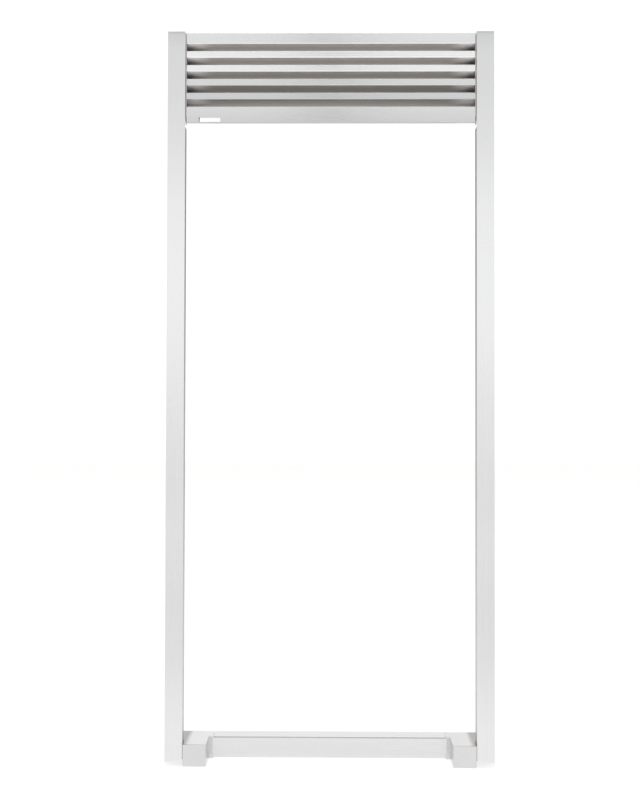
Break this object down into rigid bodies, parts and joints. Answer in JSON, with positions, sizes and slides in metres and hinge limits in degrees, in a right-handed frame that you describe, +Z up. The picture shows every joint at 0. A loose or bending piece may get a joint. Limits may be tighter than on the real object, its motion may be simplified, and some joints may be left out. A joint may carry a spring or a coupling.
{
  "type": "louvered appliance trim frame",
  "caption": "Tall brushed-steel trim frame for a built-in appliance: folded side trims, a swing-out louvered top grille and a recessed pull-out toe-kick bar between box feet.",
  "frame": {"origin": "floor level at the middle of the frame's width and depth, under the opening", "axes": "+Z up along the side trims, -Y out of the front faces, +X to the right seen from the front"},
  "size_m": [0.85, 0.095, 1.905],
  "materials": {
    "brushed_stainless": "fine brushed, satin",
    "plain_steel": "mill finish, dull",
    "zinc_plated": "bright zinc plate",
    "black_rubber": "matt"
  },
  "bodies": {
    "frame": {"left_side_trim": "brushed_stainless", "right_side_trim": "brushed_stainless", "left_toe_corner": "brushed_stainless", "right_toe_corner": "brushed_stainless", "left_toe_tongue": "plain_steel", "right_toe_tongue": "plain_steel", "top_header": "plain_steel", "grille_stop_bracket_left": "plain_steel", "grille_stop_bracket_right": "plain_steel", "foot_screw_left_lower": "zinc_plated", "foot_screw_left_upper": "zinc_plated", "foot_screw_right_lower": "zinc_plated", "foot_screw_right_upper": "zinc_plated", "header_screw_left_front": "zinc_plated", "header_screw_left_rear": "zinc_plated", "header_screw_right_front": "zinc_plated", "header_screw_right_rear": "zinc_plated", "stop_screw_left": "zinc_plated", "stop_screw_right": "zinc_plated", "grille_pivot_pin_left": "zinc_plated", "grille_pivot_pin_right": "zinc_plated", "grille_stop_pad_left": "black_rubber", "grille_stop_pad_right": "black_rubber"},
    "grille": {"grille_top_rail": "brushed_stainless", "louver_blade_1": "brushed_stainless", "louver_blade_2": "brushed_stainless", "louver_blade_3": "brushed_stainless", "louver_blade_4": "brushed_stainless", "grille_bottom_rail": "brushed_stainless", "grille_end_plate_left": "brushed_stainless", "grille_end_plate_right": "brushed_stainless", "finger_slot_liner": "plain_steel"},
    "toe_kick": {"toe_kick_bar": "brushed_stainless"}
  },
  "joints": [
    {"name": "grille_swing", "type": "hinge", "parent": "frame", "child": "grille", "pos_m": [0, -0.0155, 1.893], "axis": [-1, 0, 0], "range_deg": [0, 60]},
    {"name": "toe_kick_pull", "type": "slide", "parent": "frame", "child": "toe_kick", "axis": [0, -1, 0], "range_m": [0, 0.06]}
  ]
}
